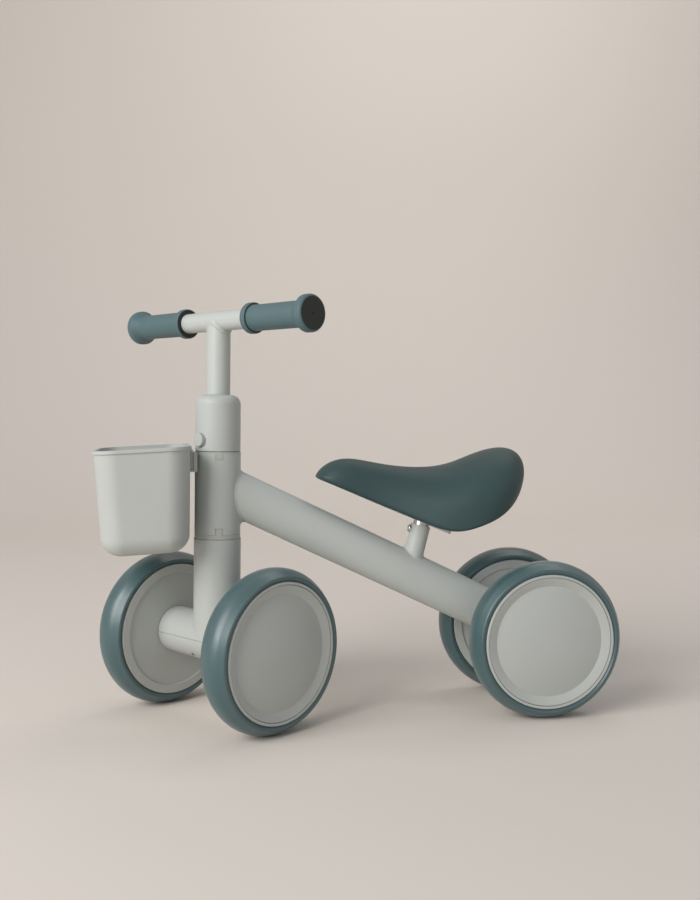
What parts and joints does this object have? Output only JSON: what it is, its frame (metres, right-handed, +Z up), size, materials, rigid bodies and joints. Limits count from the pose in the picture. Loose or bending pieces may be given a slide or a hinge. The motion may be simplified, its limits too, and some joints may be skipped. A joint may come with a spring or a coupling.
{
  "type": "balance bike",
  "caption": "Low toddler balance bike on small wide wheels, with a sloping main tube, a moulded saddle, a turning handlebar with round grips and a lift-off basket.",
  "frame": {"origin": "on the floor, below the middle of the whole length and width", "axes": "+X forward, +Y to the rider's left, +Z up; at rest the steering is turned 36 degrees to the left"},
  "size_m": [0.4648, 0.2144, 0.365],
  "materials": {
    "frame_paint": "satin powder coat, warm light sage grey",
    "body_plastic": "satin moulded plastic, warm light sage grey",
    "tyre_foam": "smooth moulded foam with a soft shine, dark teal",
    "grip_rubber": "satin rubber, grey teal",
    "saddle_skin": "self-skinned foam with a fine leather grain, dark teal",
    "bush_plastic": "moulded bearing plastic, light grey",
    "nylon": "natural nylon",
    "zinc_steel": "zinc-plated steel"
  },
  "bodies": {
    "frame": {"main_tube": "frame_paint", "head_tube": "frame_paint", "seat_tube": "frame_paint", "rear_axle_tube": "frame_paint", "head_weld": "frame_paint", "seat_weld": "frame_paint", "rear_weld": "frame_paint", "rear_axle_plugs": "body_plastic", "rear_axle": "zinc_steel", "rear_axle_washers": "zinc_steel", "rear_axle_nuts": "zinc_steel", "upper_head_bush": "bush_plastic", "lower_head_bush": "bush_plastic", "basket_hanger": "frame_paint", "hanger_screws": "zinc_steel", "seat_post": "zinc_steel", "seat_plate": "zinc_steel", "seat_screws": "zinc_steel", "seat_button_spring": "zinc_steel", "saddle": "saddle_skin"},
    "steering": {"fork": "body_plastic", "fork_axle_cover": "body_plastic", "fork_cover_screws": "zinc_steel", "steerer_tube": "zinc_steel", "steering_stop_pin": "zinc_steel", "front_axle_sleeve": "zinc_steel", "front_axle": "zinc_steel", "front_axle_washers": "zinc_steel", "front_axle_nuts": "zinc_steel", "collar": "body_plastic", "release_spring": "zinc_steel", "handlebar_stem": "frame_paint", "handlebar_bar": "frame_paint", "handlebar_weld": "frame_paint", "left_grip": "grip_rubber", "right_grip": "grip_rubber"},
    "release": {"release_button": "body_plastic"},
    "seat_lock": {"seat_button": "zinc_steel"},
    "basket_assembly": {"basket": "body_plastic", "basket_hook": "frame_paint", "basket_rivets": "zinc_steel"},
    "front_left_wheel": {"front_left_tyre": "tyre_foam", "front_left_hub": "body_plastic", "front_left_hub_cap": "body_plastic", "front_left_bushes": "nylon"},
    "front_right_wheel": {"front_right_tyre": "tyre_foam", "front_right_hub": "body_plastic", "front_right_hub_cap": "body_plastic", "front_right_bushes": "nylon"},
    "rear_left_wheel": {"rear_left_tyre": "tyre_foam", "rear_left_hub": "body_plastic", "rear_left_hub_cap": "body_plastic", "rear_left_bushes": "nylon"},
    "rear_right_wheel": {"rear_right_tyre": "tyre_foam", "rear_right_hub": "body_plastic", "rear_right_hub_cap": "body_plastic", "rear_right_bushes": "nylon"}
  },
  "joints": [
    {"name": "steering_turn", "type": "hinge", "parent": "frame", "child": "steering", "pos_m": [0.12657, 0, 0], "axis": [0, 0, 1], "range_deg": [-103.5, 31.5]},
    {"name": "front_left_spin", "type": "hinge", "parent": "steering", "child": "front_left_wheel", "pos_m": [0.08461, 0.05776, 0.07], "axis": [-0.5878, 0.809, 0], "continuous": true},
    {"name": "front_right_spin", "type": "hinge", "parent": "steering", "child": "front_right_wheel", "pos_m": [0.16854, -0.05776, 0.07], "axis": [-0.5878, 0.809, 0], "continuous": true},
    {"name": "rear_left_spin", "type": "hinge", "parent": "frame", "child": "rear_left_wheel", "pos_m": [-0.16243, 0.0476, 0.07], "axis": [0, 1, 0], "continuous": true},
    {"name": "rear_right_spin", "type": "hinge", "parent": "frame", "child": "rear_right_wheel", "pos_m": [-0.16243, -0.0476, 0.07], "axis": [0, 1, 0], "continuous": true},
    {"name": "release_press", "type": "slide", "parent": "steering", "child": "release", "axis": [-0.809, -0.5878, 0], "range_m": [0, 0.002], "stiffness_N_per_m": 900, "springref_m": -0.001, "deforming": ["release_spring"]},
    {"name": "seat_lock_press", "type": "slide", "parent": "frame", "child": "seat_lock", "axis": [-0.9711, 0, -0.2385], "range_m": [0, 0.0022], "stiffness_N_per_m": 800, "springref_m": -0.001, "deforming": ["seat_button_spring"]},
    {"name": "basket_lift", "type": "slide", "parent": "frame", "child": "basket_assembly", "axis": [0, 0, 1], "range_m": [0, 0.03]}
  ]
}
